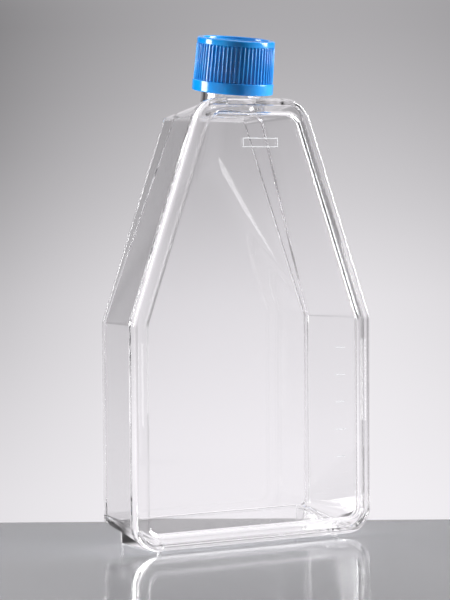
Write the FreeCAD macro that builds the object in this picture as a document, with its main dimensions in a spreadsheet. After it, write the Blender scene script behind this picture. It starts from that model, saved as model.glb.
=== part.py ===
"""Cell culture flask: a clear moulded tub, its welded front plate and a blue screw cap with a seal.

The flask stands on its two foot ribs. +Z runs up along the flask, the front plate faces -Y and X runs
across the width. The origin is the point on the bench under the middle of the whole width and depth.
"""
import FreeCAD, Part
import math
import os

import Sketcher

V = FreeCAD.Vector

# Driving dimensions: alias, value in millimetres (or degrees), and what it is.
DIMENSIONS = [
    ("half_width", 61.5, "half the width over the front rim"),
    ("rim_bottom", 1.5, "bench to the lower edge of the front rim"),
    ("shoulder", 101.0, "bench to the corner where the sides start to slant in"),
    ("rim_top", 198.5, "bench to the upper edge of the front rim"),
    ("slant", 19.7, "angle of the slanted sides from the vertical, degrees"),
    ("rim_low", 12.0, "front rim's radius at the bottom corners"),
    ("rim_mid", 12.0, "front rim's radius at the shoulders"),
    ("rim_high", 14.0, "front rim's radius at the top corners"),
    ("tub_low", 9.0, "tub's radius at the bottom corners, at the weld plane"),
    ("tub_mid", 8.0, "tub's radius at the shoulders, at the weld plane"),
    ("tub_high", 8.0, "tub's radius at the top corners, at the weld plane"),
    ("weld_y", -17.27, "plane where the tub and the front plate are welded"),
    ("depth", 40.0, "weld plane to the rear edge of the tub"),
    ("draft", 8.8, "draft of the tub's walls, degrees"),
    ("wall", 1.8, "wall thickness of the tub"),
    ("flange_lip", 1.2, "how far the weld flange stands out from the walls"),
    ("flange_depth", 2.2, "depth of the weld flange"),
    ("back_depth", 38.0, "weld plane to the outside of the back wall"),
    ("ramp_apex", 176.0, "bench to the point where the two ramps' planes meet the flat back"),
    ("ramp_lean", 12.6, "lean of the fold between the ramps towards the front, degrees"),
    ("ramp_fold", 17.0, "angle by which each ramp turns away from the fold, degrees"),
    ("ramp_rounding", 30.0, "rounding of the fold between the ramps, outside"),
    ("skirt_wall", 1.6, "thickness of the standing rim round the back"),
    ("foot_x", 46.5, "middle of a foot rib from the centre line"),
    ("foot_wall", 2.0, "thickness of a foot rib"),
    ("foot_front", 3.0, "weld plane to the front end of a foot rib"),
    ("foot_back", 36.5, "weld plane to the back end of a foot rib"),
    ("foot_top", 9.5, "height to which the foot ribs run up into the bottom wall"),
    ("plate_wall", 1.8, "thickness of the front plate"),
    ("bead_width", 7.0, "width of the bead round the front plate"),
    ("bead_height", 3.8, "height of the bead over the weld plane"),
    ("bead_fillet", 1.7, "rounding of the bead"),
    ("neck_y", -1.97, "neck axis at the cap's lower edge, behind the middle of the whole depth"),
    ("neck_z", 202.0, "bench to the neck axis at the cap's lower edge"),
    ("neck_cant", 9.0, "lean of the neck towards the front, degrees"),
    ("neck_outer", 14.0, "outer radius of the neck"),
    ("neck_inner", 12.1, "inner radius of the neck"),
    ("neck_reach", 19.8, "cap's lower edge to the mouth of the neck"),
    ("neck_root", 12.0, "cap's lower edge down to the neck's lower end, inside the tub"),
    ("cap_collar", 18.2, "outer radius of the cap's collar"),
    ("cap_low", 17.9, "outer radius of the ribbed wall above the collar"),
    ("cap_high", 17.4, "outer radius of the ribbed wall under the lip"),
    ("collar_height", 5.0, "height of the collar"),
    ("lip_start", 21.2, "cap's lower edge to the lip on its top"),
    ("cap_height", 23.8, "height of the cap"),
    ("lip_width", 2.6, "width of the raised lip on the cap's top"),
    ("cap_recess", 1.3, "depth of the top inside the raised lip"),
    ("lip_rounding", 1.0, "rounding of the raised lip"),
    ("cap_bore", 15.6, "inner radius of the cap"),
    ("cap_roof", 1.6, "thickness of the cap's top"),
    ("rib_count", 60.0, "number of grip grooves round the cap"),
    ("rib_depth", 0.6, "depth of a grip groove"),
    ("rib_width", 0.9, "width of a grip groove"),
    ("rib_end", 0.6, "plain wall left above the collar and under the lip, beyond a groove's ends"),
    ("seal_radius", 15.2, "radius of the sealing disc"),
    ("seal_height", 0.95, "thickness of the sealing disc"),
    ("seal_play", 0.05, "gap between the sealing disc and the mouth of the neck"),
    ("spare", 5.0, "how far a cutting shape runs past what it cuts"),
]


def fill_sheet(doc):
    """Put every driving dimension in the spreadsheet, with its alias and its meaning."""
    sheet = doc.addObject("Spreadsheet::Sheet", "sizes")
    for row, (alias, value, meaning) in enumerate(DIMENSIONS, start=1):
        sheet.set(f"A{row}", meaning)
        sheet.set(f"B{row}", str(value))
        sheet.setAlias(f"B{row}", alias)
    doc.recompute()
    return sheet


def size(name):
    """One value of the spreadsheet, for places that no constraint can reach."""
    return float(doc.getObject("sizes").get(name))


def new_body(label):
    """An empty PartDesign body with its label."""
    body = doc.addObject("PartDesign::Body", label)
    body.Label = label
    return body


def origin_plane(body, role):
    """One of a body's own origin planes, found by its role."""
    return next(item for item in body.Origin.OriginFeatures if item.Role == role)


def new_sketch(body, name, role):
    """A sketch on one of the body's own origin planes."""
    sketch = body.newObject("Sketcher::SketchObject", name)
    sketch.AttachmentSupport = [(origin_plane(body, role), "")]
    sketch.MapMode = "FlatFace"
    return sketch


def value_of(rule):
    """The number that an expression over the spreadsheet gives."""
    result = doc.getObject("sizes").evalExpression(rule)
    return float(getattr(result, "Value", result))


def fix_point(sketch, line, kind, rule):
    """Hold one coordinate of a line's first point at what the rule gives."""
    start = value_of(rule)
    if abs(start) < 1e-9:
        axis = -2 if kind == "DistanceX" else -1
        sketch.addConstraint(Sketcher.Constraint("PointOnObject", line, 1, axis))
        return
    ends = (-1, 1, line, 1) if start > 0 else (line, 1, -1, 1)
    number = sketch.addConstraint(Sketcher.Constraint(kind, *ends, abs(start)))
    sketch.setExpression(f"Constraints[{number}]", rule if start > 0 else f"-({rule})")


def polygon(sketch, corners):
    """Draw a closed polygon; each corner is a pair of rules, for its x and its y."""
    points = [V(value_of(x_rule), value_of(y_rule), 0) for x_rule, y_rule in corners]
    count = len(points)
    for line, point in enumerate(points):
        sketch.addGeometry(Part.LineSegment(point, points[(line + 1) % count]), False)
    for line in range(count):
        sketch.addConstraint(Sketcher.Constraint("Coincident", line, 2, (line + 1) % count, 1))
    for line, (x_rule, y_rule) in enumerate(corners):
        fix_point(sketch, line, "DistanceX", x_rule)
        fix_point(sketch, line, "DistanceY", y_rule)


def circle(sketch, radius_rule):
    """Draw a circle round the sketch's origin with a bound radius."""
    radius = value_of(radius_rule)
    sketch.addGeometry(Part.Circle(V(0, 0, 0), V(0, 0, 1), radius), False)
    sketch.addConstraint(Sketcher.Constraint("Coincident", 0, 3, -1, 1))
    number = sketch.addConstraint(Sketcher.Constraint("Radius", 0, radius))
    sketch.setExpression(f"Constraints[{number}]", radius_rule)


def outline_corners(inset):
    """The six sharp corners of the flask's outline, moved in on every side by the inset."""
    half = f"sizes.half_width - ({inset})"
    low = f"sizes.rim_bottom + ({inset})"
    middle = f"sizes.shoulder - ({inset}) * tan(sizes.slant * 0.5deg)"
    high = f"sizes.rim_top - ({inset})"
    narrow = ("sizes.half_width - (sizes.rim_top - sizes.shoulder) * tan(sizes.slant * 1deg)"
              f" - ({inset}) * tan(45deg - sizes.slant * 0.5deg)")
    return [
        (f"-({half})", low), (half, low), (half, middle),
        (narrow, high), (f"-({narrow})", high), (f"-({half})", middle),
    ]


def corner_radii(group, inset):
    """Rules for the radii of the outline's six corners, each less by the inset."""
    order = ("low", "low", "mid", "high", "high", "mid")
    return [f"sizes.{group}_{corner} - ({inset})" for corner in order]


def rounded_polygon(sketch, corners, radii):
    """Draw a closed polygon with rounded corners, held by its sharp corner points and its radii."""
    points = [V(value_of(x_rule), value_of(y_rule), 0) for x_rule, y_rule in corners]
    arcs = [corner_arc(points, number, value_of(rule)) for number, rule in enumerate(radii)]
    count = len(points)
    for number, arc in enumerate(arcs):
        start = arcs[(number + 1) % count].StartPoint
        sketch.addGeometry(Part.LineSegment(arc.EndPoint, start), False)
    for arc in arcs:
        sketch.addGeometry(arc, False)
    for point in points:
        sketch.addGeometry(Part.Point(point), True)
    for number, (x_rule, y_rule) in enumerate(corners):
        before, arc, point = (number - 1) % count, count + number, 2 * count + number
        sketch.addConstraint(Sketcher.Constraint("Tangent", before, 2, arc, 1))
        sketch.addConstraint(Sketcher.Constraint("Tangent", arc, 2, number, 1))
        sketch.addConstraint(Sketcher.Constraint("PointOnObject", point, 1, before))
        sketch.addConstraint(Sketcher.Constraint("PointOnObject", point, 1, number))
        fix_point(sketch, point, "DistanceX", x_rule)
        fix_point(sketch, point, "DistanceY", y_rule)
        bound = sketch.addConstraint(Sketcher.Constraint("Radius", arc, value_of(radii[number])))
        sketch.setExpression(f"Constraints[{bound}]", radii[number])


def corner_arc(points, number, radius):
    """The arc that rounds one corner of a polygon drawn anticlockwise."""
    corner = points[number]
    into = (corner - points[number - 1]).normalize()
    out = (points[(number + 1) % len(points)] - corner).normalize()
    turn = into.getAngle(out)
    start = corner - into * radius * math.tan(turn / 2)
    centre = start + V(-into.y, into.x, 0) * radius
    away = start - centre
    first = math.atan2(away.y, away.x)
    return Part.ArcOfCircle(Part.Circle(centre, V(0, 0, 1), radius), first, first + turn)


def outline_sketch(body, name, start, inset, radii):
    """The flask's outline in a plane `start` behind the weld plane, moved in by the inset."""
    sketch = new_sketch(body, name, "XZ_Plane")
    sketch.setExpression("AttachmentOffset.Base.z", f"-(sizes.weld_y + {start}) * 1mm")
    rounded_polygon(sketch, outline_corners(inset), radii)
    return sketch


def rim_block(name, length, forward=False):
    """A body with the front rim's outline, padded from the weld plane to the back or the front."""
    body = new_body(name)
    pad = body.newObject("PartDesign::Pad", name + "_pad")
    pad.Profile = outline_sketch(body, name + "_outline", "0", "0", corner_radii("rim", "0"))
    pad.Reversed = not forward
    pad.setExpression("Length", f"{length} * 1mm")
    doc.recompute()
    return body


def tub_block(name, inset, length):
    """A body with the tub's outline, padded from the weld plane to the back with the draft."""
    body = new_body(name)
    pad = body.newObject("PartDesign::Pad", name + "_pad")
    pad.Profile = outline_sketch(body, name + "_outline", "0", inset, corner_radii("tub", "0"))
    pad.Reversed = True
    pad.setExpression("Length", f"({length}) * 1mm")
    pad.setExpression("TaperAngle", "-sizes.draft * 1deg")
    doc.recompute()
    return body


def round_edges(body, name, tip, edges, radius):
    """Round some of the tip's edges with a bound radius; returns the new tip."""
    feature = body.newObject("PartDesign::Fillet", name)
    feature.Base = (tip, edges)
    feature.setExpression("Radius", f"({radius}) * 1mm")
    doc.recompute()
    return feature


def cut_section(body, name, corners):
    """Cut a section drawn in the YZ plane out of the body, right across its width."""
    sketch = new_sketch(body, name + "_section", "YZ_Plane")
    polygon(sketch, corners)
    pocket = body.newObject("PartDesign::Pocket", name)
    pocket.Profile = sketch
    pocket.Midplane = True
    pocket.setExpression("Length", "(sizes.half_width + sizes.spare) * 2mm")
    doc.recompute()
    return pocket


def back_form(name, offset):
    """Everything in front of the back wall's outer face, moved to the front by the offset.

    The back is flat and upright. Above the shoulder two ramps lean away from it towards the neck; they
    meet in a rounded fold on the centre line.
    """
    body = new_body(name)
    sketch = new_sketch(body, name + "_fold", "XY_Plane")
    sketch.AttachmentOffset = FreeCAD.Placement(V(), FreeCAD.Rotation(V(1, 0, 0), size("ramp_lean")))
    sketch.setExpression("AttachmentOffset.Base.y", "(sizes.weld_y + sizes.back_depth) * 1mm")
    sketch.setExpression("AttachmentOffset.Base.z", "sizes.ramp_apex * 1mm")
    sketch.setExpression("AttachmentOffset.Rotation.Angle", "sizes.ramp_lean * 1deg")
    wide = "sizes.half_width + sizes.spare"
    front = "-sizes.rim_top"
    fold = f"-({offset}) / cos(sizes.ramp_fold * 1deg)"
    side = f"{fold} - ({wide}) * tan(sizes.ramp_fold * 1deg)"
    polygon(sketch, [
        (f"-({wide})", front), (wide, front), (wide, side), ("0", fold), (f"-({wide})", side),
    ])
    pad = body.newObject("PartDesign::Pad", name + "_pad")
    pad.Profile = sketch
    pad.Midplane = True
    pad.setExpression("Length", "sizes.rim_top * 4mm")
    doc.recompute()
    edges = [f"Edge{number}" for number, edge in enumerate(pad.Shape.Edges, start=1)
             if all(abs(vertex.X) < 0.01 for vertex in edge.Vertexes)]
    round_edges(body, name + "_rounding", pad, edges, f"sizes.ramp_rounding - ({offset})")
    flat = f"sizes.weld_y + sizes.back_depth - ({offset})"
    cut_section(body, name + "_flat", [
        (flat, "-sizes.rim_top"), ("sizes.rim_top", "-sizes.rim_top"),
        ("sizes.rim_top", "sizes.rim_top * 2"), (flat, "sizes.rim_top * 2"),
    ])
    return body


def combine(body, name, kind, tool):
    """Fuse another body into this one or cut it out of it."""
    step = body.newObject("PartDesign::Boolean", name)
    step.Type = kind
    step.setObjects([tool])
    doc.recompute()
    return step


def neck_profile(body, name, kind, radius, end):
    """Turn the neck, or its bore, about the canted neck axis."""
    sketch = new_sketch(body, name + "_profile", "YZ_Plane")
    sketch.AttachmentOffset = FreeCAD.Placement(V(), FreeCAD.Rotation(V(0, 0, 1), size("neck_cant")))
    sketch.setExpression("AttachmentOffset.Base.x", "sizes.neck_y * 1mm")
    sketch.setExpression("AttachmentOffset.Base.y", "sizes.neck_z * 1mm")
    sketch.setExpression("AttachmentOffset.Rotation.Angle", "sizes.neck_cant * 1deg")
    polygon(sketch, [("0", "-sizes.neck_root"), (radius, "-sizes.neck_root"), (radius, end), ("0", end)])
    turned = body.newObject(f"PartDesign::{kind}", name)
    turned.Profile = sketch
    turned.ReferenceAxis = (sketch, ["V_Axis"])
    turned.Angle = 360
    doc.recompute()
    return turned


def foot_rib(body, side):
    """One of the two ribs that the flask stands on; side is -1 or 1."""
    name = "foot_left" if side < 0 else "foot_right"
    sketch = new_sketch(body, name + "_plan", "XY_Plane")
    inner = f"{side} * (sizes.foot_x - sizes.foot_wall / 2)"
    outer = f"{side} * (sizes.foot_x + sizes.foot_wall / 2)"
    front = "sizes.weld_y + sizes.foot_front"
    back = "sizes.weld_y + sizes.foot_back"
    polygon(sketch, [(inner, front), (outer, front), (outer, back), (inner, back)])
    pad = body.newObject("PartDesign::Pad", name)
    pad.Profile = sketch
    pad.setExpression("Length", "sizes.foot_top * 1mm")
    doc.recompute()
    return pad


def flask_body():
    """The tub, moulded in one piece with its neck, weld flange, foot ribs and standing rim."""
    recess = tub_block("recess_core", "sizes.flange_lip + sizes.skirt_wall", "sizes.depth + sizes.spare")
    combine(recess, "clear_back", "Cut", back_form("back_outside", "0"))
    cavity = tub_block("cavity_core", "sizes.flange_lip + sizes.wall", "sizes.depth")
    combine(cavity, "fit_back", "Common", back_form("back_inside", "sizes.wall"))
    flange = rim_block("weld_flange", "sizes.flange_depth")
    body = tub_block("flask_body", "sizes.flange_lip", "sizes.depth")
    combine(body, "cut_recess", "Cut", recess)
    combine(body, "add_flange", "Fuse", flange)
    neck_profile(body, "neck", "Revolution", "sizes.neck_outer", "sizes.neck_reach")
    foot_rib(body, -1)
    foot_rib(body, 1)
    combine(body, "cut_cavity", "Cut", cavity)
    neck_profile(body, "neck_bore", "Groove", "sizes.neck_inner", "sizes.neck_reach + sizes.spare")
    return body


def top_plate():
    """The front plate, welded to the tub's flange, with the raised bead round its edge."""
    body = rim_block("top_plate", "sizes.bead_height", forward=True)
    panel = body.newObject("PartDesign::Pocket", "panel")
    panel.Profile = outline_sketch(body, "panel_outline", "(-sizes.bead_height)", "sizes.bead_width",
                                   corner_radii("rim", "sizes.bead_width"))
    panel.setExpression("Length", "(sizes.bead_height - sizes.plate_wall) * 1mm")
    doc.recompute()
    front = size("weld_y") - size("bead_height")
    edges = [f"Edge{number}" for number, edge in enumerate(panel.Shape.Edges, start=1)
             if all(abs(vertex.Y - front) < 0.01 for vertex in edge.Vertexes)]
    round_edges(body, "bead_rounding", panel, edges, "sizes.bead_fillet")
    return body


def lay_on_neck(body):
    """Place a body that is drawn about +Z on the canted neck axis, at the cap's lower edge."""
    body.Placement = FreeCAD.Placement(V(), FreeCAD.Rotation(V(1, 0, 0), size("neck_cant")))
    body.setExpression("Placement.Base.y", "sizes.neck_y * 1mm")
    body.setExpression("Placement.Base.z", "sizes.neck_z * 1mm")
    body.setExpression("Placement.Rotation.Angle", "sizes.neck_cant * 1deg")
    doc.recompute()


def cap_shell(body):
    """Turn the cap: collar, tapered wall, raised lip and recessed top."""
    sketch = new_sketch(body, "cap_section", "XZ_Plane")
    top = "sizes.cap_height"
    deck = "sizes.cap_height - sizes.cap_recess"
    under = "sizes.cap_height - sizes.cap_recess - sizes.cap_roof"
    polygon(sketch, [
        ("sizes.cap_bore", "0"), ("sizes.cap_collar", "0"), ("sizes.cap_collar", "sizes.collar_height"),
        ("sizes.cap_low", "sizes.collar_height"), ("sizes.cap_high", "sizes.lip_start"),
        ("sizes.cap_high", top), ("sizes.cap_high - sizes.lip_width", top),
        ("sizes.cap_high - sizes.lip_width", deck), ("0", deck), ("0", under), ("sizes.cap_bore", under),
    ])
    turned = body.newObject("PartDesign::Revolution", "cap_wall")
    turned.Profile = sketch
    turned.ReferenceAxis = (sketch, ["V_Axis"])
    turned.Angle = 360
    doc.recompute()
    return turned


def grip_grooves(body):
    """Cut one grip groove along the tapered wall and repeat it round the cap."""
    sketch = new_sketch(body, "groove_section", "XZ_Plane")
    low = "sizes.collar_height + sizes.rib_end"
    high = "sizes.lip_start - sizes.rib_end"
    polygon(sketch, [
        ("sizes.cap_low - sizes.rib_depth", low), ("sizes.cap_low + sizes.spare", low),
        ("sizes.cap_low + sizes.spare", high), ("sizes.cap_high - sizes.rib_depth", high),
    ])
    groove = body.newObject("PartDesign::Pocket", "grip_groove")
    groove.Profile = sketch
    groove.Midplane = True
    groove.setExpression("Length", "sizes.rib_width * 1mm")
    doc.recompute()
    pattern = body.newObject("PartDesign::PolarPattern", "grip_grooves")
    pattern.Originals = [groove]
    pattern.Axis = (origin_plane(body, "Z_Axis"), [""])
    pattern.Angle = 360
    pattern.setExpression("Occurrences", "sizes.rib_count")
    body.Tip = pattern
    doc.recompute()
    return pattern


def screw_cap():
    """The screw cap, moulded in one piece."""
    body = new_body("screw_cap")
    shell = cap_shell(body)
    top_edges = [f"Edge{number}" for number, edge in enumerate(shell.Shape.Edges, start=1)
                 if all(abs(vertex.Z - size("cap_height")) < 0.01 for vertex in edge.Vertexes)]
    round_edges(body, "lip_rounding", shell, top_edges, "sizes.lip_rounding")
    grip_grooves(body)
    lay_on_neck(body)
    return body


def cap_liner():
    """The soft disc under the cap's top that closes the mouth of the neck."""
    body = new_body("cap_liner")
    sketch = new_sketch(body, "liner_circle", "XY_Plane")
    sketch.setExpression("AttachmentOffset.Base.z", "(sizes.neck_reach + sizes.seal_play) * 1mm")
    circle(sketch, "sizes.seal_radius")
    pad = body.newObject("PartDesign::Pad", "liner_disc")
    pad.Profile = sketch
    pad.setExpression("Length", "sizes.seal_height * 1mm")
    doc.recompute()
    lay_on_neck(body)
    return body


def check_document():
    """Stop if any object of the document failed to build."""
    for item in doc.Objects:
        if "Invalid" in item.State or "Error" in item.State:
            raise RuntimeError(f"{item.Label} failed: {item.State}")


def write_parts(bodies):
    """Check each sub-part's shape and write it to its own file."""
    os.makedirs("parts", exist_ok=True)
    for body in bodies:
        if body.Shape.isNull() or not body.Shape.isValid() or len(body.Shape.Solids) != 1:
            raise RuntimeError(f"{body.Label} has no single valid solid")
        body.Shape.exportStep(f"parts/{body.Label}.step")
        box = body.Shape.optimalBoundingBox(False)
        print(f"{body.Label}: {body.Shape.Volume / 1000:.1f} cm3,"
              f" x {box.XMin:.1f} to {box.XMax:.1f}, y {box.YMin:.1f} to {box.YMax:.1f},"
              f" z {box.ZMin:.1f} to {box.ZMax:.1f}")


doc = FreeCAD.newDocument("cell_culture_flask")
fill_sheet(doc)
parts = [flask_body(), top_plate(), screw_cap(), cap_liner()]
doc.recompute()
check_document()
write_parts(parts)
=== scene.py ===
"""Cell culture flask: a clear tub with a welded front plate, a canted neck and a ribbed blue cap.

Sizes are in millimetres and angles in degrees unless a name says otherwise; bench, lamps and camera
are in metres. Meshes are scaled to metres as they are made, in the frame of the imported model: +Z up,
the front plate facing -Y.
"""
from __future__ import annotations

import logging
import math
from dataclasses import dataclass, field
from enum import Enum
from typing import Callable, Iterable, Sequence

import bmesh
import bpy
from mathutils import Matrix, Vector

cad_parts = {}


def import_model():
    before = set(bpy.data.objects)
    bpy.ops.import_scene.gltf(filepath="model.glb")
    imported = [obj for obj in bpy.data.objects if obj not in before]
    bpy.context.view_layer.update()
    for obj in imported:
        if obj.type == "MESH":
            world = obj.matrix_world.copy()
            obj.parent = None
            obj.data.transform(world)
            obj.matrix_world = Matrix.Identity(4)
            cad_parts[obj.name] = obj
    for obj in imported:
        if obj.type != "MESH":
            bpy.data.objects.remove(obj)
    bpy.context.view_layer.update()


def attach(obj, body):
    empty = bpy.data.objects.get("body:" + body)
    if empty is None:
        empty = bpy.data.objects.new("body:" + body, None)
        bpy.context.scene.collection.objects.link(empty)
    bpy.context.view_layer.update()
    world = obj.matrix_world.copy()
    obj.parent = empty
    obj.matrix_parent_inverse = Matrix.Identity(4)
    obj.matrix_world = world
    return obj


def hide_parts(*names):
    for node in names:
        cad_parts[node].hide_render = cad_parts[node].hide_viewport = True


LOG = logging.getLogger("culture_flask")
Flat = tuple[float, float]
Point = tuple[float, float, float]
Colour = tuple[float, float, float]

MM = 0.001
MERGE = 1e-7  # metres within which two corners are one
ON_AXIS = 1e-6  # a turned section's radius below which it lies on the axis
WELD = -17.27  # depth of the plane where the front plate is welded to the tub
PLATE = 1.8  # thickness of the front plate
GREY_CAST: Colour = (1.005, 0.98, 1.015)  # tint of the studio's greys


class Corner(Enum):
    """The three kinds of corner in the flask's outline."""

    LOW = "low"
    SHOULDER = "shoulder"
    TOP = "top"


class Body(Enum):
    """The rigid bodies that pieces ride on."""

    FLASK = "flask"
    SEAL = "seal"
    CAP = "cap"


class Slot(Enum):
    """The record's material slots."""

    CLEAR = "clear_plastic"
    CAP = "cap_blue"
    LINER = "liner"


class Join(Enum):
    """The ways in which one solid is worked with another."""

    ADD = "UNION"
    CUT = "DIFFERENCE"


# ---------------------------------------------------------------- node helpers


def rgba(colour: Colour, share: float = 1.0) -> tuple[float, float, float, float]:
    """A colour as sockets take it, with each part multiplied by a share."""
    return (*(share * part for part in colour), 1.0)


class Nodes:
    """A short way to add and link nodes in one node tree."""

    def __init__(self, tree: bpy.types.NodeTree) -> None:
        """Hold the tree that nodes are added to."""
        self.tree = tree

    def add(self, kind: str, inputs: dict | None = None, **settings: object) -> bpy.types.Node:
        """Add a node.

        Args:
            kind: the node's type name.
            inputs: values or sockets by input name or number.
            settings: properties of the node.

        Returns:
            The new node.
        """
        node = self.tree.nodes.new(kind)
        for name, value in settings.items():
            setattr(node, name, value)
        for key, value in (inputs or {}).items():
            self.put(value, node.inputs[key])
        return node

    def put(self, value: object, socket: bpy.types.NodeSocket) -> None:
        """Give a socket a value, or link it.

        Args:
            value: a plain value or another node's output.
            socket: the input.
        """
        if isinstance(value, bpy.types.NodeSocket):
            self.tree.links.new(value, socket)
        else:
            socket.default_value = value

    def math(self, operation: str, first: object, second: object = 0.0,
             clamp: bool = False) -> bpy.types.NodeSocket:
        """Add a Math node.

        Args:
            operation: the node's operation.
            first: first value or socket.
            second: second value or socket.
            clamp: whether the result is held between 0 and 1.

        Returns:
            The result socket.
        """
        node = self.add("ShaderNodeMath", {0: first, 1: second}, operation=operation, use_clamp=clamp)
        return node.outputs[0]

    def remap(self, value: bpy.types.NodeSocket, span: Flat,
              result: Flat = (0.0, 1.0)) -> bpy.types.NodeSocket:
        """Map one span of values to another, held at its ends.

        Args:
            value: the number.
            span: the numbers that give the ends of the result.
            result: the ends of the result.

        Returns:
            The result socket.
        """
        node = self.add("ShaderNodeMapRange", {
            "Value": value, "From Min": span[0], "From Max": span[1], "To Min": result[0],
            "To Max": result[1]})
        return node.outputs[0]

    def noise(self, place: bpy.types.NodeSocket, scale: float, detail: float) -> bpy.types.NodeSocket:
        """Add a noise pattern.

        Args:
            place: the coordinates.
            scale: how fine it is.
            detail: how many finer layers it has.

        Returns:
            The pattern, from 0 to 1.
        """
        node = self.add("ShaderNodeTexNoise", {"Vector": place, "Scale": scale, "Detail": detail})
        return node.outputs["Fac"]

    def bump(self, height: bpy.types.NodeSocket, strength: float,
             distance: float) -> bpy.types.NodeSocket:
        """Turn a pattern into a fine relief.

        Args:
            height: the pattern.
            strength: how much of it shows.
            distance: its height in metres.

        Returns:
            The normal socket.
        """
        node = self.add("ShaderNodeBump", {"Strength": strength, "Distance": distance,
                                           "Height": height})
        return node.outputs[0]

    def two_tone(self, value: bpy.types.NodeSocket, dark: Sequence[float], light: Sequence[float],
                 ends: Flat = (0.0, 1.0)) -> bpy.types.NodeSocket:
        """A colour that runs from one to another.

        Args:
            value: the number that it follows.
            dark: the colour at the low end, with its alpha.
            light: the colour at the high end, with its alpha.
            ends: the numbers at both ends.

        Returns:
            The colour socket.
        """
        tone = self.add("ShaderNodeValToRGB", {0: value})
        for element, place, colour in zip(tone.color_ramp.elements, ends, (dark, light)):
            element.position = place
            element.color = colour
        return tone.outputs[0]

    def level(self, value: bpy.types.NodeSocket, stops: Sequence[Flat]) -> bpy.types.NodeSocket:
        """A grey that depends on one number.

        Args:
            value: the number, from -1 to 1.
            stops: pairs of number and grey.

        Returns:
            The colour socket.
        """
        tone = self.add("ShaderNodeValToRGB", {0: self.remap(value, (-1.0, 1.0))})
        ramp = tone.color_ramp
        while len(ramp.elements) < len(stops):
            ramp.elements.new(0.5)
        for element, (place, grey) in zip(ramp.elements, stops):
            element.position = (place + 1.0) / 2.0
            element.color = rgba(GREY_CAST, grey)
        return tone.outputs[0]

    def mixed(self, share: bpy.types.NodeSocket, first: object, second: object) -> bpy.types.NodeSocket:
        """Mix two colours.

        Args:
            share: how much of the second.
            first: the first colour.
            second: the second colour.

        Returns:
            The colour socket.
        """
        mix = self.add("ShaderNodeMix", data_type="RGBA")
        sockets = {socket.identifier: socket for socket in (*mix.inputs, *mix.outputs)}
        self.put(share, sockets["Factor_Float"])
        self.put(first, sockets["A_Color"])
        self.put(second, sockets["B_Color"])
        return sockets["Result_Color"]


def geometry_tree(name: str, sizes: dict[str, str]) -> tuple[Nodes, bpy.types.Node]:
    """Start a Geometry Nodes tree with named inputs, the last of which is the finish.

    Args:
        name: the tree's name.
        sizes: kind of socket by input name.

    Returns:
        The node helper and the tree's input node.
    """
    tree = bpy.data.node_groups.new(name, "GeometryNodeTree")
    for label, kind in {"Geometry": "Geometry", **sizes, "Finish": "Material"}.items():
        tree.interface.new_socket(label, in_out="INPUT", socket_type=f"NodeSocket{kind}")
    tree.interface.new_socket("Geometry", in_out="OUTPUT", socket_type="NodeSocketGeometry")
    nodes = Nodes(tree)
    return nodes, nodes.add("NodeGroupInput")


def close_tree(nodes: Nodes, result: bpy.types.NodeSocket, given: bpy.types.Node) -> None:
    """End a tree in Realize Instances and Set Material.

    Args:
        nodes: the tree's helper.
        result: the geometry to finish.
        given: the tree's input node.
    """
    real = nodes.add("GeometryNodeRealizeInstances", {0: result})
    dressed = nodes.add("GeometryNodeSetMaterial", {
        "Geometry": real.outputs[0], "Material": given.outputs["Finish"]})
    nodes.add("NodeGroupOutput", {0: dressed.outputs[0]})


def run_tree(piece: bpy.types.Object, tree: bpy.types.NodeTree, values: dict[str, object]) -> None:
    """Run a tree on a piece and keep the result as its plain mesh.

    Args:
        piece: the object whose mesh the tree works on.
        tree: the Geometry Nodes tree.
        values: the tree's inputs by name.
    """
    modifier = piece.modifiers.new(tree.name, "NODES")
    modifier.node_group = tree
    for item in tree.interface.items_tree:
        if item.item_type == "SOCKET" and item.in_out == "INPUT" and item.name in values:
            modifier[item.identifier] = values[item.name]
    keep_result(piece)


def keep_result(piece: bpy.types.Object) -> None:
    """Make the result of a piece's modifiers its mesh, and remove them.

    Args:
        piece: the object.
    """
    bpy.context.view_layer.update()
    graph = bpy.context.evaluated_depsgraph_get()
    mesh = bpy.data.meshes.new_from_object(piece.evaluated_get(graph))
    piece.modifiers.clear()
    piece.data = mesh


# ---------------------------------------------------------------- finishes


def start_material(name: str) -> tuple[bpy.types.Material, Nodes, bpy.types.NodeSocket]:
    """Start a material with an empty tree.

    Args:
        name: the material's name.

    Returns:
        The material, its node helper and the piece's own coordinates.
    """
    material = bpy.data.materials.new(name)
    material.use_nodes = True
    nodes = Nodes(material.node_tree)
    nodes.tree.nodes.clear()
    return material, nodes, nodes.add("ShaderNodeTexCoord").outputs["Object"]


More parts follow.
